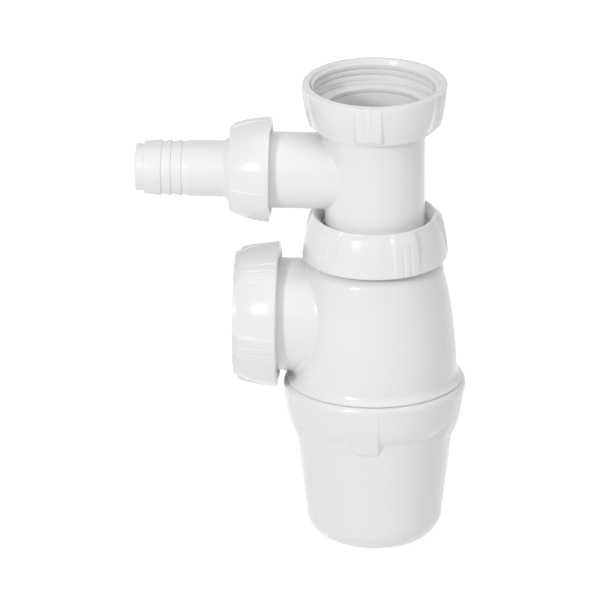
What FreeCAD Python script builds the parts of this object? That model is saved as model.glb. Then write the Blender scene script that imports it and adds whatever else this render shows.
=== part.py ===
import FreeCAD, Part
import math
import os
from types import SimpleNamespace

# A sink trap with an appliance inlet, in white moulded plastic: a bottle trap whose upright inlet
# is a tee, with a hose spigot for an appliance on the tee's branch.
# Millimetres, +Z up. The origin is the centre of the cup's flat underside, on the upright axis.
# The waste outlet and the appliance branch both leave towards -X.

# Pipes, which the rest is sized round
pipe_r = 20.0              # waste pipe that the outlet takes
pipe_play = 0.25
tube_slack = 0.9           # how much slimmer the inlet tube is than the waste pipe
tube_wall = 2.2

# Threads, 1 1/2 inch pipe thread on the big nuts and 1 inch on the small one. Each spigot is
# drawn at its thread's root and each nut's bore at its thread's outer radius, with play.
thread_depth = 1.479
thread_play = 0.25
spigot_edge = 0.921        # wall left between a big thread's root and the cone seal's mouth
small_thread_r = 16.62
thread_chamfer = 0.6       # at the first turn of the cup's thread

# Cup, the bottle base that unscrews for cleaning. Depths are measured down from its top.
cup_height = 64.0
cup_wall = 2.4
foot_round = 10.6          # round between the flat patch that the cup stands on and the wall
water_gap = 6.8            # round the dip tube, to the outside of the wall just above the round
cup_taper = 4.4            # how much the wall widens up to the rim
rim_depth = 16.8           # down to where the wide rim begins
rim_side_depth = 11.3      # down to the end of the rim's convex underside
rim_low_in = 1.5           # how far inside the rim's widest that underside ends
rim_mid_in = 2.5           # and where it is halfway up
rim_round = 2.3
rim_wall = 3.2             # from the root of the cup's own thread to the rim's widest
thread_step = 1.3          # from the wall where the rim begins out to that root
cup_thread_depth = 1.1
ledge_depth = 11.5         # down to the seat of the cup seal
cup_seal_thick = 2.0
cup_lug_count = 5
cup_lug_width = 17.8       # degrees
cup_lug_at = -93.4         # first lug, degrees about +Z from +X
cup_lug_foot_depth = 21.2  # down to where a lug's sloping foot leaves the wall
cup_lug_low_depth = 20.2   # down to where its bowed face begins
cup_lug_low_in = 4.3       # how far inside the rim's widest that is
cup_lug_mid_depth = 14.0
cup_lug_mid_in = 2.0
cup_lug_high_depth = 6.0   # down to where its face runs out in the rim's side
cup_lug_root = 0.6         # how deep a lug's base lies in the wall

# Trap body: bell, screwed skirt, neck and outlet spigot. Its heights are measured from its foot.
flare_in = 1.4             # how far inside the cup's rim the foot's flare ends
flare_edge = 0.5           # height of the flare's upright edge
flare_reach = 2.0          # how proud the flare is of the bell
flare_mid_proud = 0.5      # how proud its hollow is of the bell
flare_mid_height = 1.9
flare_height = 4.4
flare_sink = 0.2           # how far the flare's top lies inside the bell's surface
bell_bulge = 1.3           # how far the bell's side bulges
shoulder_reach = 3.979     # from the neck out to where the bell's shoulder begins
shoulder_bulge = 1.0       # how far inside that the shoulder's middle is
shoulder_mid_drop = 1.7    # from the bell's top down to that middle
shoulder_drop = 4.2        # down to where the shoulder begins
shoulder_foot = 0.6        # flat between the shoulder and the neck
bell_mid_share = 0.515     # how far up the bell's side its bulge is measured
bell_wall = 2.6
roof_drop = 2.0            # inside, from the bell's roof down to its wall
skirt_wall = 2.3
outlet_neck_in = 0.821     # how much slimmer than its thread's root the spigot's plain part is
outlet_low_gap = 2.8       # from the bell's foot up to the outlet spigot
outlet_high_gap = 1.9      # from the outlet spigot up to the bell's top
outlet_stop = 2.5          # step that the waste pipe stops at
outlet_collar = 2.2        # how far the plain stretch runs under the nut
outlet_nut_clear = 1.5     # from the cup's rim out to the outlet nut
saddle_round = 2.0         # round between the bell and the outlet spigot
neck_nut_stand = 1.6       # from the bell's top to the neck nut's wide rim

# Big union nuts, one moulding for the neck and the outlet, a second core for the inlet
nut_height = 17.0
nut_wall = 3.8             # from the thread's outer radius to the nut's wide rim
nut_mid_in = 1.35          # how much slimmer than that rim it is halfway along
nut_end_in = 3.5           # and at its narrow end
nut_mouth_out = 1.1        # how much wider than the thread the mouth is
nut_hole_play = 0.4        # round the pipe, in the nut's hole
nut_recess_out = 2.2       # how much wider than the hole its recess is
nut_recess_depth = 3.0
nut_lip_depth = 4.4        # from the narrow end in to the inner face of the lip
union_lip_depth = 3.6      # the same on the inlet nut
union_recess_depth = 1.6
union_chamber_length = 4.2   # of the washer's chamber, past the inlet nut's thread
union_chamber_in = 0.3     # how much narrower than the thread bore it is
nut_lug_width = 20.8       # degrees
nut_lug_count = 5
lug_proud_at_rim = 0.2
lug_proud_at_middle = 0.75
lug_proud_at_end = 1.6
lug_chamfer = 1.6
lug_root = 0.8             # how deep a lug's base lies in the wall
edge_break = 0.6           # at a nut's two rims
groove_offset = 3.3        # degrees each side of a lug's middle
groove_width = 1.7         # degrees
groove_depth = 0.4
groove_share = 0.75        # of the nut's height
neck_lug_at = -59.4        # degrees about +Z from +X
inlet_lug_at = -91.0       # degrees about +Z from +X
outlet_lug_at = -11.4      # degrees up from the front, -Y

# Compression joints: cone seal and slip ring under a big nut
pipe_stop_at = 0.5         # where the pipe's socket ends, from the nut's wide rim
slip_ring_thick = 1.5
slip_ring_play = 0.55      # round the ring, in the nut
seal_stand = 0.7           # how far a cone seal stands out of its socket
seal_length = 5.2
seal_draft = 1.1           # how much narrower its inner end is
neck_seal_wall = 2.0       # at its wide end
outlet_seal_wall = 1.5

# Inlet tee with its dip tube
dip_stand = 22.0           # from the surface that the trap stands on up to the dip tube's end
inlet_flange_thick = 2.0
inlet_mouth_step = 0.3     # how much narrower than the tube's outside its mouth is
inlet_mouth_depth = 3.0
inlet_chamber_play = 0.2   # round the washer
inlet_washer_hole_in = 0.6   # how much narrower than the tube's outside its hole is
inlet_washer_thick = 1.6
branch_low_gap = 2.1       # from the neck nut up to the branch
branch_high_gap = 4.7      # from the branch up to the inlet nut
branch_neck_in = 0.441     # how much slimmer than its thread's root the branch's plain part is
branch_wall = 2.5
branch_collar = 1.6        # how far the plain stretch runs under the nut
branch_round = 1.5         # round between the tube and the branch

# Small union nut on the branch
small_nut_stand = 20.4     # from the tube's wall to the wide rim
small_nut_height = 15.7
small_nut_wall = 3.48      # from the thread's outer radius to the wide rim
small_mid_in = 1.0
small_end_in = 3.2
small_mouth_out = 0.98
small_recess_out = 1.0
small_recess_depth = 1.0
small_lip_depth = 3.9
small_lug_count = 3
small_lug_width = 22.0     # degrees
small_lug_share = 0.5      # of a big nut's lug
small_lug_at = -19.0       # degrees up from the front, -Y

# Hose spigot and its washer
spigot_washer_thick = 1.4
spigot_flange_thick = 1.9
hose_r = 10.75
hose_wall = 3.35
hose_length = 41.7         # from the flange's inner face
hose_root_out = 1.15       # how much thicker the tube is where it leaves the nut
hose_root_stand = 0.8      # how far that root stands out of the nut
pilot_in = 1.75            # how much slimmer than the tube the pilot tip is
pilot_length = 3.2
barb_depth = 0.75
barb_lengths = (6.8, 3.7, 4.1)   # from the tip inwards
barb_relief = 2.4          # slope from the plain tube down to the inmost barb

# Clearances
seat_gap = 0.1             # between flat faces of pieces that are clamped together
running = 0.05             # round a tube that slides in its seal
free_gap = 0.3             # round what only passes through
overrun = 1.0              # how far a cutter runs past the face that it opens
same_place = 0.001

# Radii worked out from the sizes above, from the pipes outwards
tube_r = pipe_r - tube_slack
tube_way_r = tube_r - tube_wall
neck_way_r = tube_r + free_gap
pipe_socket_r = pipe_r + pipe_play
thread_root_r = pipe_r + outlet_seal_wall + spigot_edge
big_thread_r = thread_root_r + thread_depth
nut_bore_r = big_thread_r + thread_play
slip_ring_r = nut_bore_r - slip_ring_play
outlet_r = thread_root_r - outlet_neck_in
outlet_way_r = pipe_r - outlet_stop
cup_low_r = tube_r + water_gap
cup_high_r = cup_low_r + cup_taper
cup_thread_r = cup_high_r + thread_step
rim_r = cup_thread_r + rim_wall
skirt_r = cup_thread_r - thread_play - cup_thread_depth
skirt_inner_r = skirt_r - skirt_wall
foot_flare_r = rim_r - flare_in
bell_low_r = foot_flare_r - flare_reach
bell_high_r = thread_root_r + shoulder_reach
bell_mid_r = (bell_low_r + bell_high_r) / 2 + bell_bulge
shoulder_mid_r = bell_high_r - shoulder_bulge
nut_rim_r = big_thread_r + nut_wall
nut_hole_r = pipe_r + nut_hole_play
union_chamber_r = nut_bore_r - union_chamber_in
inlet_washer_r = union_chamber_r - inlet_chamber_play
inlet_flange_r = thread_root_r - free_gap
inlet_mouth_r = tube_r - inlet_mouth_step
small_root_r = small_thread_r - thread_depth
small_bore_r = small_thread_r + thread_play
small_rim_r = small_thread_r + small_nut_wall
branch_r = small_root_r - branch_neck_in
branch_way_r = branch_r - branch_wall
spigot_flange_r = small_root_r - free_gap
hose_root_r = hose_r + hose_root_out
hose_hole_r = hose_root_r + free_gap
hose_way_r = hose_r - hose_wall

# Heights, from the foot up
rim_start = cup_height - rim_depth
rim_side_start = cup_height - rim_side_depth
ledge_z = cup_height - ledge_depth
skirt_end_z = ledge_z + cup_seal_thick + 2 * seat_gap
body_foot_z = cup_height + free_gap
outlet_height = outlet_low_gap + outlet_r
outlet_z = body_foot_z + outlet_height
bell_height = outlet_height + outlet_r + outlet_high_gap
bell_high_height = bell_height - shoulder_drop
bell_mid_height = bell_high_height * bell_mid_share
bell_top_z = body_foot_z + bell_height
neck_nut_z = bell_top_z + neck_nut_stand
branch_z = neck_nut_z + nut_height + branch_low_gap + branch_r
inlet_nut_z = branch_z + branch_r + branch_high_gap + nut_height

# Where the two nuts at the side begin
outlet_nut_x = -rim_r - outlet_nut_clear
small_nut_x = -tube_r - small_nut_stand

# A compression joint's stack, measured from the nut's wide rim
nut_lip_at = nut_height - nut_lip_depth
slip_ring_at = nut_lip_at - seat_gap - slip_ring_thick
seal_top_at = slip_ring_at - seat_gap
socket_end_at = seal_top_at - seal_stand
# The inlet union's stack, measured from the nut's wide rim
union_lip_at = nut_height - union_lip_depth
union_thread_end = union_lip_at - union_chamber_length
inlet_flange_at = union_lip_at - seat_gap - inlet_flange_thick
inlet_washer_at = inlet_flange_at - seat_gap - inlet_washer_thick
tee_top_z = inlet_nut_z - inlet_flange_at
# The spigot union's stack, measured from the small nut's wide rim
small_lip_at = small_nut_height - small_lip_depth
spigot_flange_at = small_lip_at - seat_gap - spigot_flange_thick
spigot_washer_at = spigot_flange_at - seat_gap - spigot_washer_thick
branch_end_at = spigot_washer_at - seat_gap

origin = FreeCAD.Vector(0, 0, 0)
up = FreeCAD.Vector(0, 0, 1)


def point(radius, height):
    return FreeCAD.Vector(radius, 0, height)


# A closed outline in the half plane of radius and height. A step is the next corner, or a pair
# of points: one on an arc, and the arc's end.
def outline(start, *steps):
    edges = []
    here = point(*start)
    for step in steps + (start,):
        if isinstance(step[0], tuple):
            end = point(*step[1])
            edges.append(Part.Arc(here, point(*step[0]), end).toShape())
        else:
            end = point(*step)
            if here.distanceToPoint(end) > same_place:
                edges.append(Part.makeLine(here, end))
        here = end
    return Part.Face(Part.Wire(edges))


# The two steps of a round corner: its first point, then the arc to its last
def corner(radius, height, size, first, last):
    def at(degrees):
        turn = math.radians(degrees)
        return (radius + size * math.cos(turn), height + size * math.sin(turn))
    return at(first), (at((first + last) / 2), at(last))


# A solid turned about the upright axis, or a wedge of one centred on an angle
def turned(face, sweep=360.0, middle=0.0):
    solid = face.revolve(origin, up, sweep)
    solid.rotate(origin, up, middle - sweep / 2)
    return solid


def ring(inner_r, outer_r, low, high):
    return turned(outline((inner_r, low), (outer_r, low), (outer_r, high), (inner_r, high)))


def rod(radius, low, high):
    return Part.makeCylinder(radius, high - low, FreeCAD.Vector(0, 0, low))


# Turns a piece that was made standing so that its top points along -X, at a height
def laid(solid, x, z):
    placed = solid.copy()
    placed.rotate(origin, FreeCAD.Vector(0, 1, 0), -90)
    placed.translate(FreeCAD.Vector(x, 0, z))
    return placed


# Turns a piece that was made standing upside down, its foot at a height
def flipped(solid, z):
    placed = solid.copy()
    placed.rotate(origin, FreeCAD.Vector(1, 0, 0), 180)
    placed.translate(FreeCAD.Vector(0, 0, z))
    return placed


def raised(solid, z):
    placed = solid.copy()
    placed.translate(FreeCAD.Vector(0, 0, z))
    return placed


# A union nut, standing on its wide rim: a tapered wall with grip lugs, an open mouth, a thread
# bore and a lip at the narrow end. The lugs carry two shallow grooves each.
def union_nut(size, first_lug):
    wall_top = size.height - edge_break
    middle = (edge_break + wall_top) / 2
    body = turned(outline(
        (size.mouth_r, 0), (size.rim_r - edge_break, 0), (size.rim_r, edge_break),
        ((size.mid_r, middle), (size.end_r, wall_top)),
        (size.end_r - edge_break, size.height),
        (size.recess_r, size.height), (size.hole_r, size.height - size.recess_depth),
        (size.hole_r, size.lip_at), (size.chamber_r, size.lip_at),
        (size.chamber_r, size.thread_end), (size.bore_r, size.thread_end),
        (size.bore_r, size.mouth_r - size.bore_r)))
    low_r = size.rim_r + lug_proud_at_rim * size.lug_scale
    mid_r = size.mid_r + lug_proud_at_middle * size.lug_scale
    end_r = size.end_r + lug_proud_at_end * size.lug_scale
    chamfer = lug_chamfer * size.lug_scale
    lug = outline(
        (size.rim_r - lug_root, edge_break), (low_r, edge_break),
        ((mid_r, middle - chamfer / 2), (end_r, wall_top - chamfer)),
        (end_r - chamfer, wall_top), (size.end_r - lug_root, wall_top))
    groove_top = size.height * groove_share
    groove = outline(
        (low_r - groove_depth, 0), (low_r + overrun, 0), (low_r + overrun, groove_top),
        (mid_r, groove_top))
    lugs = []
    grooves = []
    for count in range(size.lug_count):
        angle = first_lug + count * 360 / size.lug_count
        lugs.append(turned(lug, size.lug_width, angle))
        if size.grooved:
            for side in (-1, 1):
                grooves.append(turned(groove, groove_width, angle + side * groove_offset))
    solid = body.fuse(lugs)
    if grooves:
        solid = solid.cut(grooves)
    return solid.removeSplitter()


# A big nut. Its thread bore ends in a chamber, which is no narrower than the bore by default.
def big_nut(first_lug, lip_at=nut_lip_at, recess_depth=nut_recess_depth,
            thread_end=nut_lip_at, chamber_r=nut_bore_r):
    return union_nut(SimpleNamespace(
        height=nut_height, rim_r=nut_rim_r, mid_r=nut_rim_r - nut_mid_in,
        end_r=nut_rim_r - nut_end_in, mouth_r=big_thread_r + nut_mouth_out,
        bore_r=nut_bore_r, thread_end=thread_end, chamber_r=chamber_r, lip_at=lip_at,
        hole_r=nut_hole_r, recess_r=nut_hole_r + nut_recess_out, recess_depth=recess_depth,
        lug_count=nut_lug_count, lug_width=nut_lug_width, lug_scale=1.0, grooved=True), first_lug)


def small_nut(first_lug):
    return union_nut(SimpleNamespace(
        height=small_nut_height, rim_r=small_rim_r, mid_r=small_rim_r - small_mid_in,
        end_r=small_rim_r - small_end_in, mouth_r=small_thread_r + small_mouth_out,
        bore_r=small_bore_r, thread_end=small_lip_at, chamber_r=small_bore_r,
        lip_at=small_lip_at, hole_r=hose_hole_r, recess_r=hose_hole_r + small_recess_out,
        recess_depth=small_recess_depth, lug_count=small_lug_count,
        lug_width=small_lug_width, lug_scale=small_lug_share, grooved=False), first_lug)


# Cone seal standing on its narrow inner end
def cone_seal(hole_r, wide_r):
    return turned(outline(
        (hole_r, 0), (wide_r - seal_draft, 0), (wide_r, seal_length), (hole_r, seal_length)))


# The tapered socket that a cone seal sits in, as a solid to cut, its mouth at a height
def socket_cutter(way_r, wide_r, mouth):
    low = mouth + seal_stand - seal_length - free_gap
    slope = seal_draft / seal_length
    play = running + free_gap / 2
    low_r = wide_r - seal_draft + play - slope * free_gap
    top = mouth + overrun
    high_r = wide_r + play + slope * (overrun - seal_stand)
    return turned(outline((0, low), (low_r, low), (high_r, top), (0, top)))


def make_cup():
    draft = (cup_high_r - cup_low_r) / (rim_start - foot_round)
    inner_low_r = cup_low_r - cup_wall
    inner_high_r = cup_high_r + draft * (ledge_z - rim_start) - cup_wall
    inner_round = foot_round - cup_wall
    shell = turned(outline(
        (0, 0), *corner(cup_low_r - foot_round, foot_round, foot_round, -90, 0),
        (cup_high_r, rim_start),
        ((rim_r - rim_mid_in, (rim_start + rim_side_start) / 2),
         (rim_r - rim_low_in, rim_side_start)),
        *corner(rim_r - rim_round, cup_height - rim_round, rim_round, 0, 90),
        (cup_thread_r + thread_chamfer, cup_height), (cup_thread_r, cup_height - thread_chamfer),
        (cup_thread_r, ledge_z), (inner_high_r, ledge_z),
        *corner(inner_low_r - inner_round, foot_round, inner_round, 0, -90), (0, cup_wall)))
    return shell.fuse(make_cup_lugs(draft)).removeSplitter()


# The cup's grip lugs: a sloping foot, then a bowed face that runs out in the rim's side
def make_cup_lugs(draft):
    foot_z = cup_height - cup_lug_foot_depth
    top_z = cup_height - cup_lug_high_depth
    foot_r = cup_low_r + draft * (foot_z - foot_round)
    side_slope = rim_low_in / (rim_side_depth - rim_round)
    top_r = rim_r - side_slope * (cup_lug_high_depth - rim_round)
    root_r = cup_thread_r + cup_lug_root
    lug = outline(
        (foot_r - cup_lug_root, foot_z), (foot_r, foot_z),
        (rim_r - cup_lug_low_in, cup_height - cup_lug_low_depth),
        ((rim_r - cup_lug_mid_in, cup_height - cup_lug_mid_depth), (top_r, top_z)),
        (root_r, top_z), (root_r, rim_side_start), (cup_high_r - cup_lug_root, rim_start))
    return [turned(lug, cup_lug_width, cup_lug_at + count * 360 / cup_lug_count)
            for count in range(cup_lug_count)]


def make_cup_seal():
    low = ledge_z + seat_gap
    return ring(skirt_inner_r, cup_thread_r - free_gap, low, low + cup_seal_thick)


def make_body():
    neck_top = neck_nut_z + socket_end_at
    bell = turned(outline(
        (0, body_foot_z), (bell_low_r, body_foot_z),
        ((bell_mid_r, body_foot_z + bell_mid_height),
         (bell_high_r, body_foot_z + bell_high_height)),
        ((shoulder_mid_r, bell_top_z - shoulder_mid_drop),
         (thread_root_r + shoulder_foot, bell_top_z)),
        (thread_root_r, bell_top_z), (thread_root_r, neck_top), (0, neck_top)))
    thread_start = -outlet_nut_x + outlet_collar
    spigot_end = -outlet_nut_x + socket_end_at
    spigot = turned(outline(
        (0, neck_way_r), (outlet_r, neck_way_r), (outlet_r, thread_start),
        (thread_root_r, thread_start + thread_root_r - outlet_r), (thread_root_r, spigot_end),
        (0, spigot_end)))
    bell = bell.fuse(laid(spigot, 0, outlet_z))
    bell = bell.makeFillet(saddle_round, seam(bell, outlet_r, outlet_z))
    outlet_cutters = [
        rod(outlet_way_r, 0, spigot_end + overrun),
        rod(pipe_socket_r, -outlet_nut_x + pipe_stop_at, spigot_end + overrun),
        socket_cutter(pipe_socket_r, pipe_r + outlet_seal_wall, spigot_end)]
    cutters = [make_bell_way(neck_top), socket_cutter(neck_way_r, tube_r + neck_seal_wall, neck_top)]
    cutters += [laid(cutter, 0, outlet_z) for cutter in outlet_cutters]
    return bell.fuse(make_body_foot()).cut(cutters)


# The bell's flared foot and the skirt under it, which screws into the cup
def make_body_foot():
    flare_top = body_foot_z + flare_height
    return turned(outline(
        (0, skirt_end_z), (skirt_r - thread_chamfer, skirt_end_z),
        (skirt_r, skirt_end_z + thread_chamfer), (skirt_r, body_foot_z),
        (foot_flare_r, body_foot_z), (foot_flare_r, body_foot_z + flare_edge),
        ((bell_low_r + flare_mid_proud, body_foot_z + flare_mid_height),
         (bell_low_r - flare_sink, flare_top)), (0, flare_top)))


# The hollow of the bell, from the skirt's mouth up through the neck
def make_bell_way(neck_top):
    low = skirt_end_z - overrun
    roof = bell_top_z - bell_wall
    return turned(outline(
        (0, low), (skirt_inner_r, low), (skirt_inner_r, body_foot_z),
        (bell_low_r - bell_wall, body_foot_z + flare_height),
        (bell_mid_r - bell_wall, body_foot_z + bell_mid_height),
        (bell_high_r - bell_wall, roof - roof_drop), (neck_way_r, roof),
        (neck_way_r, neck_top + overrun), (0, neck_top + overrun)))


# The edges where a tube that runs along X, of a radius and at a height, leaves what carries it
def seam(solid, radius, height):
    found = []
    for edge in solid.Edges:
        middle = edge.valueAt((edge.FirstParameter + edge.LastParameter) / 2)
        on_tube = abs(math.hypot(middle.y, middle.z - height) - radius) < same_place
        round_or_straight = edge.Curve.TypeId in ("Part::GeomCircle", "Part::GeomLine")
        if on_tube and not round_or_straight:
            found.append(edge)
    return found


def make_neck_seal():
    top = neck_nut_z + seal_top_at
    return raised(cone_seal(tube_r + running, tube_r + neck_seal_wall), top - seal_length)


def make_neck_slip_ring():
    low = neck_nut_z + slip_ring_at
    return ring(neck_way_r, slip_ring_r, low, low + slip_ring_thick)


def make_outlet_seal():
    end = -outlet_nut_x + seal_top_at
    seal = cone_seal(pipe_r + running, pipe_r + outlet_seal_wall)
    return laid(seal, seal_length - end, outlet_z)


def make_outlet_slip_ring():
    return laid(ring(pipe_r + free_gap, slip_ring_r, 0, slip_ring_thick),
                outlet_nut_x - slip_ring_at, outlet_z)


def make_tee():
    flange_low = tee_top_z - inlet_flange_thick
    upright = turned(outline(
        (0, dip_stand), (tube_r, dip_stand), (tube_r, flange_low), (inlet_flange_r, flange_low),
        (inlet_flange_r, tee_top_z), (0, tee_top_z)))
    thread_start = -small_nut_x + branch_collar
    branch_end = -small_nut_x + branch_end_at
    branch = turned(outline(
        (0, 0), (branch_r, 0), (branch_r, thread_start),
        (small_root_r, thread_start + small_root_r - branch_r), (small_root_r, branch_end),
        (0, branch_end)))
    tee = upright.fuse(laid(branch, 0, branch_z))
    tee = tee.makeFillet(branch_round, seam(tee, branch_r, branch_z))
    top = tee_top_z + overrun
    way = turned(outline(
        (0, dip_stand - overrun), (tube_way_r, dip_stand - overrun),
        (tube_way_r, tee_top_z - inlet_mouth_depth), (inlet_mouth_r, tee_top_z),
        (inlet_mouth_r, top), (0, top)))
    return tee.cut([way, laid(rod(branch_way_r, 0, branch_end + overrun), 0, branch_z)])


def make_inlet_nut():
    nut = big_nut(-inlet_lug_at, union_lip_at, union_recess_depth, union_thread_end,
                  union_chamber_r)
    return flipped(nut, inlet_nut_z)


def make_inlet_washer():
    top = inlet_nut_z - inlet_washer_at
    return ring(tube_r - inlet_washer_hole_in, inlet_washer_r, top - inlet_washer_thick, top)


def make_spigot_washer():
    return laid(ring(branch_way_r, spigot_flange_r, 0, spigot_washer_thick),
                small_nut_x - spigot_washer_at, branch_z)


# Hose spigot: a flange that the small nut clamps, a plain tube, three barbs and a pilot tip
def make_hose_spigot():
    root_end = small_nut_height - spigot_flange_at + hose_root_stand
    steps = [(hose_way_r, 0), (spigot_flange_r, 0), (spigot_flange_r, spigot_flange_thick),
             (hose_root_r, spigot_flange_thick), (hose_root_r, root_end),
             (hose_r, root_end + hose_root_r - hose_r)]
    at = hose_length - pilot_length - sum(barb_lengths)
    barb_low_r = hose_r - barb_depth
    pilot_r = hose_r - pilot_in
    steps += [(hose_r, at - barb_relief), (barb_low_r, at)]
    for reach in reversed(barb_lengths):
        steps += [(hose_r, at), (barb_low_r, at + reach)]
        at += reach
    steps += [(pilot_r, at), (pilot_r, hose_length - edge_break),
              (pilot_r - edge_break, hose_length), (hose_way_r, hose_length)]
    return laid(turned(outline(*steps)), small_nut_x - spigot_flange_at, branch_z)


pieces = {
    "trap_body": make_body(),
    "cup": make_cup(),
    "cup_seal": make_cup_seal(),
    "inlet_tee": make_tee(),
    "neck_nut": raised(big_nut(neck_lug_at), neck_nut_z),
    "neck_slip_ring": make_neck_slip_ring(),
    "neck_cone_seal": make_neck_seal(),
    "outlet_nut": laid(big_nut(outlet_lug_at - 90), outlet_nut_x, outlet_z),
    "outlet_slip_ring": make_outlet_slip_ring(),
    "outlet_cone_seal": make_outlet_seal(),
    "inlet_nut": make_inlet_nut(),
    "inlet_washer": make_inlet_washer(),
    "spigot_nut": laid(small_nut(small_lug_at - 90), small_nut_x, branch_z),
    "spigot_washer": make_spigot_washer(),
    "hose_spigot": make_hose_spigot(),
}

os.makedirs("parts", exist_ok=True)
for name, solid in pieces.items():
    solid.exportStep(os.path.join("parts", name + ".step"))
    print(name, len(solid.Solids), solid.isValid(), round(solid.Volume))
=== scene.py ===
import bpy
import bmesh
import math
from mathutils import Matrix, Vector


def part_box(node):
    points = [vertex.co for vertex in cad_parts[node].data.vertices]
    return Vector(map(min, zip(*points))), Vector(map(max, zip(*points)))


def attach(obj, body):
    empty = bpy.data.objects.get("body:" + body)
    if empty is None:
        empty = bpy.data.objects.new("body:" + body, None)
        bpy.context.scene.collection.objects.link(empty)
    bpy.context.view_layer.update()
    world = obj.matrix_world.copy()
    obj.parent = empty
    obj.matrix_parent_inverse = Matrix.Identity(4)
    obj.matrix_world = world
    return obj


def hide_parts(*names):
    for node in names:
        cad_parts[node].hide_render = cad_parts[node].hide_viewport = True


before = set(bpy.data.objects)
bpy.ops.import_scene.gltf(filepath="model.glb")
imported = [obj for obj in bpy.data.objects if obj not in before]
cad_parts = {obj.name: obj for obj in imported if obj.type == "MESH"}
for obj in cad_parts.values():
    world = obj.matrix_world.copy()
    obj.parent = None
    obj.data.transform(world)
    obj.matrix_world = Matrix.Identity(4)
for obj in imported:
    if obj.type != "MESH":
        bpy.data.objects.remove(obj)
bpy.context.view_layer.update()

mm = 0.001          # pieces are shaped in millimetres and placed in metres
joinGap = 0.0005    # mm, closer points are one point
glossSlot = "white_gloss"
washerSlot = "white_washer"
rubberSlot = "pale_rubber"

# A piece is shaped standing up, with its axis on Z, and then turned
standing = Matrix.Identity(4)
upsideDown = Matrix.Rotation(math.pi, 4, "X")
pointingLeft = Matrix.Rotation(-math.pi / 2, 4, "Y")


# A node's lowest and highest corner, in millimetres
def boxOf(node):
    low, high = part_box(node)
    return Vector(low) / mm, Vector(high) / mm


def lowOf(node):
    return boxOf(node)[0]


def highOf(node):
    return boxOf(node)[1]


def middleHeight(node):
    return (lowOf(node).z + highOf(node).z) / 2


# Where the pieces stand, read from the frame: the turn, and the place of the foot
branchZ = middleHeight("hose_spigot")
outletZ = middleHeight("outlet_slip_ring")
cupSeat = (standing, (0, 0, lowOf("cup").z))
neckNutSeat = (standing, (0, 0, lowOf("neck_nut").z))
inletNutSeat = (upsideDown, (0, 0, highOf("inlet_nut").z))
outletNutSeat = (pointingLeft, (highOf("outlet_nut").x, 0, outletZ))
spigotNutSeat = (pointingLeft, (highOf("spigot_nut").x, 0, branchZ))
hoseSeat = (pointingLeft, (highOf("hose_spigot").x, 0, branchZ))
print("frame read")


plastic = {
    "scatter": (1.0, 0.9, 0.8), "scatterReach": 1.2 * mm, "cloudDetail": 3.0, "rippleDetail": 2.0,
    "darker": 0.985, "paler": 1.01,         # times the colour, at the cloud's two ends
    "cloudLow": 0.3, "cloudHigh": 0.7,
    "smoother": 0.88, "rougher": 1.12,      # times the roughness, at cloudLow and cloudHigh
}


# Moulded plastic: a faint cloud in the colour and the gloss, and a very fine ripple
def makePlastic(name, look):
    made = bpy.data.materials.new(name)
    made.use_nodes = True
    nodes, links = made.node_tree.nodes, made.node_tree.links
    shader = nodes["Principled BSDF"]
    shader.inputs["IOR"].default_value = look["ior"]
    shader.inputs["Subsurface Weight"].default_value = look["depth"]
    shader.inputs["Subsurface Radius"].default_value = plastic["scatter"]
    shader.inputs["Subsurface Scale"].default_value = plastic["scatterReach"]
    place = nodes.new("ShaderNodeTexCoord")
    cloud = nodes.new("ShaderNodeTexNoise")
    cloud.inputs["Scale"].default_value = look["cloudScale"]
    cloud.inputs["Detail"].default_value = plastic["cloudDetail"]
    links.new(place.outputs["Object"], cloud.inputs["Vector"])
    tint = nodes.new("ShaderNodeMix")
    tint.data_type = "RGBA"
    tint.inputs["A"].default_value = (*[c * plastic["darker"] for c in look["colour"]], 1)
    tint.inputs["B"].default_value = (*[c * plastic["paler"] for c in look["colour"]], 1)
    links.new(cloud.outputs["Fac"], tint.inputs["Factor"])
    links.new(tint.outputs["Result"], shader.inputs["Base Color"])
    polish = nodes.new("ShaderNodeMapRange")
    polish.inputs["From Min"].default_value = plastic["cloudLow"]
    polish.inputs["From Max"].default_value = plastic["cloudHigh"]
    polish.inputs["To Min"].default_value = look["roughness"] * plastic["smoother"]
    polish.inputs["To Max"].default_value = look["roughness"] * plastic["rougher"]
    links.new(cloud.outputs["Fac"], polish.inputs["Value"])
    links.new(polish.outputs["Result"], shader.inputs["Roughness"])
    ripple = nodes.new("ShaderNodeTexNoise")
    ripple.inputs["Scale"].default_value = look["rippleScale"]
    ripple.inputs["Detail"].default_value = plastic["rippleDetail"]
    links.new(place.outputs["Object"], ripple.inputs["Vector"])
    bump = nodes.new("ShaderNodeBump")
    bump.inputs["Strength"].default_value = 1.0
    bump.inputs["Distance"].default_value = look["ripple"] * mm
    links.new(ripple.outputs["Fac"], bump.inputs["Height"])
    links.new(bump.outputs["Normal"], shader.inputs["Normal"])
    return made


glossLook = {"colour": (0.88, 0.883, 0.886), "roughness": 0.2, "ior": 1.49, "depth": 0.12,
             "cloudScale": 38.0, "ripple": 0.010, "rippleScale": 420.0}
satinLook = {**glossLook, "roughness": 0.42}
washerLook = {**glossLook, "colour": (0.86, 0.86, 0.855), "roughness": 0.5, "ripple": 0.02}
rubberLook = {**glossLook, "colour": (0.66, 0.66, 0.65), "roughness": 0.62, "ripple": 0.03,
              "depth": 0.0}
glossWhite = makePlastic("glossy white plastic", glossLook)
satinWhite = makePlastic("satin white plastic", satinLook)
washerWhite = makePlastic("white washer plastic", washerLook)
paleRubber = makePlastic("pale rubber", rubberLook)
finishes = {glossSlot: glossWhite, washerSlot: washerWhite, rubberSlot: paleRubber}
print("finishes made")


roundSegments = 3   # of a small rounding, and one more for each millimetre


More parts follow.
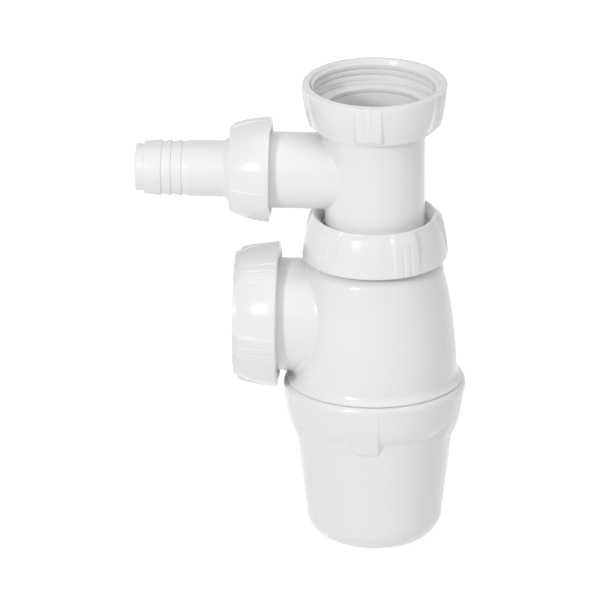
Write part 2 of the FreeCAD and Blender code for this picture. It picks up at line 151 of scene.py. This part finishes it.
# Draws a profile of corners (radius, height), or (radius, height, round) where one is rounded
def drawProfile(bm, corners, closed=True):
    verts = [bm.verts.new((corner[0], 0, corner[1])) for corner in corners]
    followers = verts[1:] + verts[:1] if closed else verts[1:]
    for a, b in zip(verts, followers):
        bm.edges.new((a, b))
    for vert, corner in zip(verts, corners):
        if len(corner) == 3:
            bmesh.ops.bevel(bm, geom=[vert], offset=corner[2], offset_type="OFFSET",
                            segments=roundSegments + int(corner[2]), profile=0.5, affect="VERTICES",
                            clamp_overlap=True, material=-1)


# Spins the drawn profile round Z, in runs of (degrees, steps)
def spinRuns(bm, runs, firstAngle):
    bmesh.ops.rotate(bm, verts=bm.verts, cent=(0, 0, 0),
                     matrix=Matrix.Rotation(math.radians(firstAngle), 3, "Z"))
    column = bm.verts[:] + bm.edges[:]
    for degrees, steps in runs:
        column = bmesh.ops.spin(bm, geom=column, cent=(0, 0, 0), axis=(0, 0, 1),
                                angle=math.radians(degrees), steps=steps)["geom_last"]
    bmesh.ops.remove_doubles(bm, verts=bm.verts, dist=joinGap)
    bmesh.ops.recalc_face_normals(bm, faces=bm.faces)


# Spins the drawn profile all the way round Z, and closes it
def spinRound(bm, steps):
    bmesh.ops.spin(bm, geom=bm.verts[:] + bm.edges[:], cent=(0, 0, 0), axis=(0, 0, 1),
                   angle=2 * math.pi, steps=steps, use_merge=True)
    bmesh.ops.remove_doubles(bm, verts=bm.verts, dist=joinGap)
    bmesh.ops.recalc_face_normals(bm, faces=bm.faces)


# Places what was shaped, gives it its body and its finish, and hides the node that it stands for
def placePiece(name, bm, seat, body, slot, node=None, sharpAngle=38, finish=None):
    turn, place = seat
    bmesh.ops.transform(bm, verts=bm.verts,
                        matrix=Matrix.Translation(Vector(place) * mm) @ turn @ Matrix.Scale(mm, 4))
    mesh = bpy.data.meshes.new(name)
    bm.to_mesh(mesh)
    bm.free()
    shading = mesh.attributes.get("custom_normal")
    if shading:      # a solid's own shading doesn't fit its merged corners
        mesh.attributes.remove(shading)
    mesh.shade_smooth()
    mesh.set_sharp_from_angle(angle=math.radians(sharpAngle))
    piece = bpy.data.objects.new(name, mesh)
    bpy.context.scene.collection.objects.link(piece)
    mesh.materials.append(finish or finishes[slot])
    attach(piece, body)
    if node:
        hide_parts(node)


# Points up a bowed wall, through a radius at its foot, its middle and its top
def bowedWall(radii, low, high, count):
    foot, middle, top = radii
    points = []
    for i in range(count + 1):
        t = i / count
        bow = (middle - (foot + top) / 2) * 4 * t * (1 - t)
        points.append((foot + (top - foot) * t + bow, low + (high - low) * t))
    return points


# Degrees from the middle of the nearest lug
def fromLug(vert, lugs):
    step = 360 / lugs["count"]
    angle = math.degrees(math.atan2(vert.co.y, vert.co.x))
    return (angle - lugs["at"] + step / 2) % step - step / 2


flankFiner = 2      # a lug's flanks have this many times the columns of its face
gapStep = 3         # degrees between the columns of the plain gaps


# Runs for a lug and the gap after it, from the lug's middle, as often as there are lugs
def lugRuns(lugs, fine):
    half, slope = lugs["width"] / 2, lugs["slope"]
    gap = 360 / lugs["count"] / 2 - half - slope
    side = [(half, round(half / fine)), (slope, round(slope / fine * flankFiner)),
            (gap, round(gap / gapStep))]
    return (side + side[::-1]) * lugs["count"]


# How far a lug stands out at a height, between the heights and amounts of its outline
def lugRise(outline, height):
    if not outline[0][0] < height < outline[-1][0]:
        return 0.0
    for (low, lowRise), (high, highRise) in zip(outline, outline[1:]):
        if height <= high:
            return lowRise + (highRise - lowRise) * (height - low) / (high - low)
    return 0.0


# Moves a point away from the axis, or nearer to it
def moveOut(vert, amount):
    radius = math.hypot(vert.co.x, vert.co.y)
    vert.co.x *= (radius + amount) / radius
    vert.co.y *= (radius + amount) / radius


# How far a point of a lug's outline moves out: its flanks slope down to the wall at 45 degrees
def lugOut(proud, offset, width, radius):
    flank = math.radians(offset - width / 2) * radius
    return min(proud, max(0.0, proud - flank))


# A union nut standing on its wide rim: the wall is spun, then lugs rise from it with sloping
# flanks, and fine grooves sink in them
def shapeNut(nut, lugs):
    bm = bmesh.new()
    height, edge, rounds = nut["height"], nut["edge"], nut["rounds"]
    lugTop = height - nut["lugChamfer"] - edge
    wall = bowedWall((nut["rimR"], nut["midR"], nut["endR"]), edge, lugTop, nut["wallRows"])
    slopeTop = nut["endR"] - (nut["midR"] - nut["endR"]) * nut["lugChamfer"] / height * 2
    corners = [
        (nut["lipR"], 0, rounds["lip"]),
        (nut["lipR"] + nut["lipSlope"], nut["lipStep"], rounds["step"]),
        (nut["rimR"], nut["lipStep"], edge * rounds["rimShare"]), *wall[1:],
        (slopeTop, height - edge), (slopeTop - nut["endSlope"], height, nut["endRound"]),
        (nut["recessR"], height, rounds["recess"]),
        (nut["holeR"], height - nut["recessDepth"], rounds["inside"]),
        (nut["holeR"], nut["lipAt"], rounds["hole"]),
        (nut["chamberR"], nut["lipAt"], rounds["inside"]),
        (nut["chamberR"], nut["threadEnd"]), (nut["boreR"], nut["threadEnd"], rounds["thread"]),
        (nut["boreR"], nut["leadDepth"], rounds["inside"]), (nut["mouthR"], 0, rounds["inside"])]
    drawProfile(bm, corners)
    spinRuns(bm, lugRuns(lugs, nut["fine"]), lugs["at"])
    recessWall = (nut["recessR"] + slopeTop) / 2
    for vert in bm.verts:
        radius, z = math.hypot(vert.co.x, vert.co.y), vert.co.z
        inside = recessWall if z > nut["lipAt"] + nut["shelf"] else nut["boreR"] + nut["near"]
        if radius < inside or (z < edge and radius < nut["lipR"] + nut["near"]):
            continue        # the lugs leave the inside and the mouth's lip as they are
        offset = abs(fromLug(vert, lugs))
        out = lugOut(lugRise(lugs["rise"], z), offset, lugs["width"], radius)
        off = abs(offset - nut["grooveAt"]) / nut["grooveWidth"] * 2
        if off < 1 and nut["grooveDepth"] and z < nut["grooveTop"]:
            out -= nut["grooveDepth"] * math.cos(off * math.pi / 2)
        if out:
            moveOut(vert, out)
    return bm


bigNut = {
    "height": 17.0, "edge": 0.6, "wallRows": 16, "rimR": 27.7, "midR": 26.6, "endR": 24.2,
    "lipR": 26.1, "lipStep": 0.25, "lipSlope": 0.15, "mouthR": 25.0, "leadDepth": 0.85,
    "boreR": 24.15, "threadEnd": 12.5, "chamberR": 24.15, "lipAt": 12.6, "holeR": 20.4,
    "recessR": 22.6, "recessDepth": 3.0, "endRound": 0.35, "endSlope": 0.1, "lugChamfer": 1.6,
    "fine": 0.65,                   # degrees between the columns of a lug's face
    "shelf": 0.2, "near": 0.3,      # the lugs' distance from the inner shelf and the inner walls
    "grooveAt": 3.3, "grooveWidth": 1.5, "grooveDepth": 0.3, "grooveTop": 12.75,
    "rounds": {"lip": 0.15, "step": 0.1, "rimShare": 0.7, "recess": 0.35, "hole": 0.25,
               "thread": 0.2, "inside": 0.3},
}
bigLugs = {"count": 5, "width": 20.8, "slope": 3.9,     # rise is (height, amount)
           "rise": [(0.2, 0.15), (8.5, 0.75), (14.8, 1.6), (16.4, 0.0)]}
neckLugs = {**bigLugs, "at": -59.4}
outletLugs = {**bigLugs, "at": -101.4}
inletNut = {**bigNut, "leadDepth": 2.1, "threadEnd": 9.2, "chamberR": 23.85, "lipAt": 13.4,
            "recessDepth": 1.6}
inletLugs = {**bigLugs, "at": 92.0}
spigotNut = {
    **bigNut, "height": 15.7, "rimR": 20.1, "midR": 19.1, "endR": 16.9, "lipR": 18.6,
    "lipStep": 0.0, "mouthR": 17.6, "leadDepth": 0.73, "boreR": 16.87, "threadEnd": 11.7,
    "chamberR": 16.87, "lipAt": 11.8, "holeR": 12.2, "recessR": 13.2, "recessDepth": 1.0,
    "endRound": 0.9, "lugChamfer": 0.9, "grooveDepth": 0.0,
}
spigotLugs = {"count": 3, "width": 22.0, "slope": 3.0, "at": -109.0,
              "rise": [(0.2, 0.05), (7.8, 0.4), (14.2, 0.8), (15.1, 0.0)]}

for name, nut, lugs, seat, node in (
        ("neckNut", bigNut, neckLugs, neckNutSeat, "neck_nut"),
        ("outletNut", bigNut, outletLugs, outletNutSeat, "outlet_nut"),
        ("inletNut", inletNut, inletLugs, inletNutSeat, "inlet_nut"),
        ("spigotNut", spigotNut, spigotLugs, spigotNutSeat, "spigot_nut")):
    placePiece(name, shapeNut(nut, lugs), seat, node, glossSlot, node)
print("nuts made")


threadSharp = 50    # degrees, so that a ridge's rounded crest shades smooth


# Scales a ridge's section by a factor, measured from its root
def deepen(column, root, factor):
    for vert in column:
        if isinstance(vert, bmesh.types.BMVert):
            radius = math.hypot(vert.co.x, vert.co.y)
            moveOut(vert, (radius - root) * (factor - 1))


# A thread's ridge: a rounded section is spun along a helix, and sinks into the wall at both ends
def shapeThread(screw):
    bm = bmesh.new()
    root, crest, pitch = screw["root"], screw["crest"], screw["pitch"]
    foot, flat = pitch * screw["footShare"] / 2, pitch * screw["crestShare"] / 2
    sunk = root + math.copysign(screw["sunk"], root - crest)
    start = screw["start"]
    drawProfile(bm, [(sunk, start - foot), (crest, start - flat, screw["round"]),
                     (crest, start + flat, screw["round"]), (sunk, start + foot)])
    column = bm.verts[:] + bm.edges[:]
    leadSteps, stepAngle = screw["leadSteps"], 360 / screw["stepsPerTurn"]
    deepen(column, sunk, 1 / leadSteps)
    steps = round((screw["end"] - start) / pitch * screw["stepsPerTurn"])

    def sweep(column, count):
        return bmesh.ops.spin(bm, geom=column, cent=(0, 0, 0), axis=(0, 0, 1),
                              dvec=(0, 0, pitch / screw["stepsPerTurn"]),
                              angle=math.radians(stepAngle) * count, steps=count)["geom_last"]

    for i in range(1, leadSteps):
        column = sweep(column, 1)
        deepen(column, sunk, (i + 1) / i)
    column = sweep(column, steps - 2 * leadSteps)
    for i in range(leadSteps, 1, -1):
        column = sweep(column, 1)
        deepen(column, sunk, (i - 1) / i)
    bmesh.ops.holes_fill(bm, edges=bm.edges[:], sides=0)
    bmesh.ops.recalc_face_normals(bm, faces=bm.faces)
    bmesh.ops.rotate(bm, verts=bm.verts, cent=(0, 0, 0),
                     matrix=Matrix.Rotation(math.radians(screw["from"]), 3, "Z"))
    return bm


pipeScrew = {"pitch": 2.309, "stepsPerTurn": 90, "leadSteps": 9, "sunk": 0.15, "round": 0.12,
             "footShare": 0.92, "crestShare": 0.46, "from": 0.0}
bigInside = {**pipeScrew, "root": 24.15, "crest": 22.95}
bigOutside = {**pipeScrew, "root": 22.421, "crest": 23.65}
smallInside = {**pipeScrew, "root": 16.87, "crest": 15.39}
smallOutside = {**pipeScrew, "root": 15.141, "crest": 16.37}
halfPitch = pipeScrew["pitch"] / 2
inletThread = {**bigInside, "start": 1.7, "end": 8.0, "from": 150.0, "crest": 23.35,
               "footShare": 0.96, "crestShare": 0.62}
neckNutThread = {**bigInside, "start": 1.6, "end": 10.6}
neckThread = {**bigOutside, "start": 1.6 + halfPitch, "end": 9.6}
outletNutThread = {**bigInside, "start": 1.6, "end": 10.6}
outletThread = {**bigOutside, "start": 1.6 + halfPitch * 3, "end": 9.6}
spigotNutThread = {**smallInside, "start": 1.4, "end": 9.8}
branchThread = {**smallOutside, "start": 1.4 + halfPitch * 3, "end": 7.8}

for name, screw, seat, body in (
        ("inletThread", inletThread, inletNutSeat, "inlet_nut"),
        ("neckNutThread", neckNutThread, neckNutSeat, "neck_nut"),
        ("neckThread", neckThread, neckNutSeat, "trap"),
        ("outletNutThread", outletNutThread, outletNutSeat, "outlet_nut"),
        ("outletThread", outletThread, outletNutSeat, "trap"),
        ("spigotNutThread", spigotNutThread, spigotNutSeat, "spigot_nut"),
        ("branchThread", branchThread, spigotNutSeat, "tee")):
    placePiece(name, shapeThread(screw), seat, body, glossSlot, sharpAngle=threadSharp)
print("threads made")


# The cup, standing on its foot, with sloping lugs under its rim
cup = {
    "height": 64.0, "footR": 25.9, "footRound": 10.6, "footStep": 0.2, "wallR": 30.3,
    "rimStart": 47.2, "sideR": 33.3, "sideStart": 52.7, "underR": 32.3, "underRows": 12,
    "sideRows": 10, "rimR": 34.78, "rimRound": 2.3, "rimStep": 0.1, "threadR": 31.6, "lead": 0.6,
    "leadRound": 0.2, "ledgeZ": 52.5, "ledgeR": 28.54, "ledgeRound": 0.3, "floor": 2.4,
    "wall": 2.4, "fine": 0.8, "rowHeight": 0.5, "near": 0.5,
}
cupLugs = {"count": 5, "width": 16.4, "slope": 3.2, "at": -92.8}
cupLugShape = [(42.8, 29.77), (43.7, 30.85), (46.0, 31.95), (50.0, 33.25), (54.0, 34.0),
               (58.0, 34.45), (60.5, 34.68)]      # height and radius up the face of a lug


def shapeCup(cup, lugs, lugShape):
    bm = bmesh.new()
    footTop = cup["footRound"] + cup["footStep"]
    plainTop = lugShape[0][0] - cup["near"]
    slope = (cup["wallR"] - cup["footR"]) / (cup["rimStart"] - footTop)

    def wallR(z):
        return cup["footR"] + slope * (z - footTop)

    rows = round((cup["rimStart"] - plainTop) / cup["rowHeight"])
    wall = [(wallR(z), z) for z in (footTop, (footTop + plainTop) / 2)]
    wall += [(wallR(z), z) for z in (plainTop + (cup["rimStart"] - plainTop) * i / rows
                                     for i in range(rows))]
    under = bowedWall((cup["wallR"], cup["underR"], cup["sideR"]), cup["rimStart"],
                      cup["sideStart"], cup["underRows"])
    sideTop = cup["height"] - cup["rimRound"] - cup["rimStep"]
    sideRows = cup["sideRows"]
    side = [(cup["sideR"] + (cup["rimR"] - cup["sideR"]) * i / sideRows,
             cup["sideStart"] + (sideTop - cup["sideStart"]) * i / sideRows)
            for i in range(1, sideRows + 1)]
    drawProfile(bm, [
        (0, 0), (cup["footR"], 0, cup["footRound"]), *wall, *under, *side,
        (cup["rimR"], cup["height"], cup["rimRound"]),
        (cup["threadR"] + cup["lead"], cup["height"]),
        (cup["threadR"], cup["height"] - cup["lead"], cup["leadRound"]),
        (cup["threadR"], cup["ledgeZ"], cup["ledgeRound"]),
        (cup["ledgeR"], cup["ledgeZ"], cup["ledgeRound"]),
        (wallR(footTop) - cup["wall"], footTop),
        (cup["footR"] - cup["wall"], cup["floor"], cup["footRound"] - cup["floor"]),
        (0, cup["floor"])], closed=False)
    spinRuns(bm, lugRuns(lugs, cup["fine"]), lugs["at"])
    for vert in bm.verts:
        radius, z = math.hypot(vert.co.x, vert.co.y), vert.co.z
        face = lugRise(lugShape, z)
        inside = (max(wallR(z) - cup["near"], cup["threadR"] + cup["near"])
                  if z > cup["ledgeZ"] else wallR(z) - cup["near"])
        if not face or radius < inside:
            continue
        out = lugOut(max(0.0, face - radius), abs(fromLug(vert, lugs)), lugs["width"], radius)
        if out:
            moveOut(vert, out)
    return bm


placePiece("cup", shapeCup(cup, cupLugs, cupLugShape), cupSeat, "cup", glossSlot, "cup")
cupScrew = {**pipeScrew, "pitch": 3.0, "round": 0.15, "footShare": 0.6, "crestShare": 0.3}
cupThread = {**cupScrew, "root": 31.6, "crest": 30.5, "start": 54.6, "end": 62.6}
skirtThread = {**cupScrew, "root": 30.25, "crest": 31.35, "start": 56.6, "end": 62.6}
for name, screw, body in (("cupThread", cupThread, "cup"), ("skirtThread", skirtThread, "trap")):
    placePiece(name, shapeThread(screw), cupSeat, body, glossSlot, sharpAngle=threadSharp)
print("cup made")


# The hose spigot, from its flange outwards, with three rounded barbs and a pilot tip
hoseSpigot = {
    "wayR": 7.4, "flangeR": 14.841, "flangeThick": 1.9, "rootR": 11.9, "rootEnd": 6.7,
    "tubeR": 10.75, "barbLowR": 10.0, "barbStart": 23.9, "relief": 2.4,
    "barbs": (4.1, 3.7, 6.8), "crestStep": 0.15, "pilotStep": 0.1, "pilotR": 9.0, "length": 41.7,
    "steps": 96,
    "rounds": {"way": 0.3, "flange": 0.2, "root": 0.3, "rootEnd": 0.4, "tube": 0.6,
               "relief": 0.8, "low": 0.1, "crest": 0.25, "pilot": 0.3, "tip": 0.6, "mouth": 0.4},
}


def shapeHoseSpigot(spigot):
    bm = bmesh.new()
    rounds, tubeR, lowR = spigot["rounds"], spigot["tubeR"], spigot["barbLowR"]
    corners = [
        (spigot["wayR"], 0, rounds["way"]), (spigot["flangeR"], 0, rounds["flange"]),
        (spigot["flangeR"], spigot["flangeThick"], rounds["flange"]),
        (spigot["rootR"], spigot["flangeThick"], rounds["root"]),
        (spigot["rootR"], spigot["rootEnd"], rounds["rootEnd"]),
        (tubeR, spigot["rootEnd"] + spigot["rootR"] - tubeR, rounds["tube"])]
    at = spigot["barbStart"]
    corners += [(tubeR, at - spigot["relief"], rounds["relief"]), (lowR, at, rounds["low"])]
    for reach in spigot["barbs"]:
        corners += [(tubeR, at + spigot["crestStep"], rounds["crest"]),
                    (lowR, at + reach, rounds["low"])]
        at += reach
    corners += [(spigot["pilotR"], at + spigot["pilotStep"], rounds["pilot"]),
                (spigot["pilotR"], spigot["length"], rounds["tip"]),
                (spigot["wayR"], spigot["length"], rounds["mouth"])]
    drawProfile(bm, corners)
    spinRound(bm, spigot["steps"])
    return bm


placePiece("hoseSpigot", shapeHoseSpigot(hoseSpigot), hoseSeat, "spigot", glossSlot, "hose_spigot",
           finish=satinWhite)
print("hose spigot made")


# Flat washers, slip rings and cone seals: each is spun round its own axis, with soft edges.
# Draft is how much smaller a cone seal is at its thin end
ringSteps = 128
rings = [
    {"name": "inletWasher", "node": "inlet_washer", "body": "inlet_washer", "lying": False,
     "holeR": 18.75, "draft": 0.0, "edge": 0.15, "slot": washerSlot},
    {"name": "neckSlipRing", "node": "neck_slip_ring", "body": "neck_slip_ring", "lying": False,
     "holeR": 19.4, "draft": 0.0, "edge": 0.3, "slot": washerSlot},
    {"name": "outletSlipRing", "node": "outlet_slip_ring", "body": "outlet_rings", "lying": True,
     "holeR": 20.3, "draft": 0.0, "edge": 0.3, "slot": washerSlot},
    {"name": "spigotWasher", "node": "spigot_washer", "body": "spigot", "lying": True,
     "holeR": 12.2, "draft": 0.0, "edge": 0.25, "slot": rubberSlot},
    {"name": "cupSeal", "node": "cup_seal", "body": "cup_seal", "lying": False,
     "holeR": 27.95, "draft": 0.0, "edge": 0.5, "slot": rubberSlot},
    {"name": "neckConeSeal", "node": "neck_cone_seal", "body": "neck_cone_seal", "lying": False,
     "holeR": 19.15, "draft": 1.1, "edge": 0.3, "slot": rubberSlot},
    {"name": "outletConeSeal", "node": "outlet_cone_seal", "body": "outlet_rings", "lying": True,
     "holeR": 20.05, "draft": 1.1, "edge": 0.3, "slot": rubberSlot},
]


def makeRing(ring):
    low, high = boxOf(ring["node"])
    middle = (low + high) / 2
    outerR = (high.y - low.y) / 2
    length = high.x - low.x if ring["lying"] else high.z - low.z
    edge = ring["edge"]
    bm = bmesh.new()
    drawProfile(bm, [(ring["holeR"], 0, edge), (outerR - ring["draft"], 0, edge),
                     (outerR, length, edge), (ring["holeR"], length, edge)])
    spinRound(bm, ringSteps)
    seat = (pointingLeft, (high.x, 0, middle.z)) if ring["lying"] else (standing, (0, 0, low.z))
    placePiece(ring["name"], bm, seat, ring["body"], ring["slot"], ring["node"])


for ring in rings:
    makeRing(ring)
print("rings made")


# The tee keeps its solid's shape, with a straighter and deeper funnel in its mouth
teeMouth = {"mouthR": 18.75, "middleR": 18.5, "throatR": 18.2, "depth": 3.0, "newDepth": 7.0,
            "near": 0.05, "sharpAngle": 32}


def makeTee():
    top, near = highOf("inlet_tee").z, teeMouth["near"]
    bm = bmesh.new()
    bm.from_mesh(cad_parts["inlet_tee"].data)
    bmesh.ops.scale(bm, vec=(1 / mm, 1 / mm, 1 / mm), verts=bm.verts)
    bmesh.ops.remove_doubles(bm, verts=bm.verts, dist=joinGap)
    moved = 0
    for vert in bm.verts:
        radius, deep = math.hypot(vert.co.x, vert.co.y), top - vert.co.z
        if radius < teeMouth["mouthR"] - near and near < deep < teeMouth["depth"] + near:
            atThroat = deep > teeMouth["depth"] - near
            moveOut(vert, teeMouth["throatR" if atThroat else "middleR"] - radius)
            if atThroat:
                vert.co.z -= teeMouth["newDepth"] - teeMouth["depth"]
            moved += 1
    print("mouth points", moved)
    placePiece("inletTee", bm, (standing, (0, 0, 0)), "tee", glossSlot, "inlet_tee",
               teeMouth["sharpAngle"])


makeTee()

# The body shows its solid as it is, so the frame's own nodes get the finish too
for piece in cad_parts.values():
    piece.data.materials.clear()
    piece.data.materials.append(glossWhite)
print("frame dressed")


# The way towards a lamp or the camera: azimuth from the front to the right, elevation upwards
def wayTo(place):
    azimuth, elevation = math.radians(place["azimuth"]), math.radians(place["elevation"])
    return Vector((math.sin(azimuth) * math.cos(elevation),
                   -math.cos(azimuth) * math.cos(elevation), math.sin(elevation)))


# The studio: a wide pale floor, a small key lamp at the left and large soft ones round it
studio = {"floorSize": 6.0, "floorColour": 0.93, "floorRoughness": 0.9, "floorGlow": 0.7,
          "surround": 0.31, "backdrop": 1.0, "aimHeight": 0.1}
lamps = [
    {"name": "key", "azimuth": -31, "elevation": 25, "distance": 1.5, "size": (0.13, 0.13),
     "power": 6.1},
    {"name": "front", "azimuth": -10, "elevation": 35, "distance": 1.5, "size": (1.2, 1.0),
     "power": 2.5},
    {"name": "side", "azimuth": 55, "elevation": 25, "distance": 1.5, "size": (1.0, 1.0),
     "power": 2.1},
    {"name": "top", "azimuth": 10, "elevation": 80, "distance": 1.2, "size": (1.2, 1.2),
     "power": 4.2},
]


def makeLamp(lamp):
    toLamp = wayTo(lamp)
    light = bpy.data.lights.new(lamp["name"], "AREA")
    light.shape = "RECTANGLE"
    light.size, light.size_y = lamp["size"]
    light.energy = lamp["power"]
    made = bpy.data.objects.new(lamp["name"], light)
    made.location = Vector((0, 0, studio["aimHeight"])) + toLamp * lamp["distance"]
    made.rotation_mode = "QUATERNION"
    made.rotation_quaternion = (-toLamp).to_track_quat("-Z", "Y")
    bpy.context.scene.collection.objects.link(made)


# The background is white to the camera and in reflections, and lights the object less
def whiteToCamera(nodes, links, plain, white, out):
    path = nodes.new("ShaderNodeLightPath")
    either = nodes.new("ShaderNodeMath")
    either.operation = "MAXIMUM"
    links.new(path.outputs["Is Camera Ray"], either.inputs[0])
    links.new(path.outputs["Is Glossy Ray"], either.inputs[1])
    mix = nodes.new("ShaderNodeMixShader")
    links.new(either.outputs["Value"], mix.inputs["Fac"])
    links.new(plain, mix.inputs[1])
    links.new(white, mix.inputs[2])
    links.new(mix.outputs["Shader"], out)


def makeFloor():
    bm = bmesh.new()
    bmesh.ops.create_grid(bm, x_segments=1, y_segments=1, size=studio["floorSize"])
    mesh = bpy.data.meshes.new("floor")
    bm.to_mesh(mesh)
    bm.free()
    floor = bpy.data.objects.new("floor", mesh)
    bpy.context.scene.collection.objects.link(floor)
    stuff = bpy.data.materials.new("pale floor")
    stuff.use_nodes = True
    nodes, links = stuff.node_tree.nodes, stuff.node_tree.links
    shader = nodes["Principled BSDF"]
    tone = studio["floorColour"]
    shader.inputs["Base Color"].default_value = (tone, tone, tone, 1)
    shader.inputs["Roughness"].default_value = studio["floorRoughness"]
    glow = nodes.new("ShaderNodeEmission")
    glow.inputs["Color"].default_value = (1, 1, 1, 1)
    glow.inputs["Strength"].default_value = studio["floorGlow"]
    both = nodes.new("ShaderNodeAddShader")
    links.new(shader.outputs["BSDF"], both.inputs[0])
    links.new(glow.outputs["Emission"], both.inputs[1])
    whiteToCamera(nodes, links, shader.outputs["BSDF"], both.outputs["Shader"],
                  nodes["Material Output"].inputs["Surface"])
    mesh.materials.append(stuff)


def makeSurround():
    world = bpy.data.worlds.new("surround")
    world.use_nodes = True
    nodes, links = world.node_tree.nodes, world.node_tree.links
    plain = nodes["Background"]
    plain.inputs["Color"].default_value = (1, 1, 1, 1)
    plain.inputs["Strength"].default_value = studio["surround"]
    white = nodes.new("ShaderNodeBackground")
    white.inputs["Color"].default_value = (1, 1, 1, 1)
    white.inputs["Strength"].default_value = studio["backdrop"]
    whiteToCamera(nodes, links, plain.outputs["Background"], white.outputs["Background"],
                  nodes["World Output"].inputs["Surface"])
    bpy.context.scene.world = world


# Far away with a long lens, because the object is seen nearly without perspective
view = {"azimuth": 3.3, "elevation": 21.8, "target": (-28.5, 0, 94.4), "distance": 9.0,
        "frameWidth": 0.2287, "sensor": 36.0, "clipEnd": 50}


def makeCamera():
    back = wayTo(view)
    camera = bpy.data.cameras.new("camera")
    camera.sensor_width = view["sensor"]
    camera.lens = view["sensor"] * view["distance"] / view["frameWidth"]
    camera.clip_end = view["clipEnd"]
    made = bpy.data.objects.new("camera", camera)
    made.location = Vector(view["target"]) * mm + back * view["distance"]
    made.rotation_mode = "QUATERNION"
    made.rotation_quaternion = (-back).to_track_quat("-Z", "Y")
    bpy.context.scene.collection.objects.link(made)
    bpy.context.scene.camera = made


makeFloor()
makeSurround()
for lamp in lamps:
    makeLamp(lamp)
makeCamera()
bpy.context.scene.view_settings.view_transform = "Standard"
print("studio made")
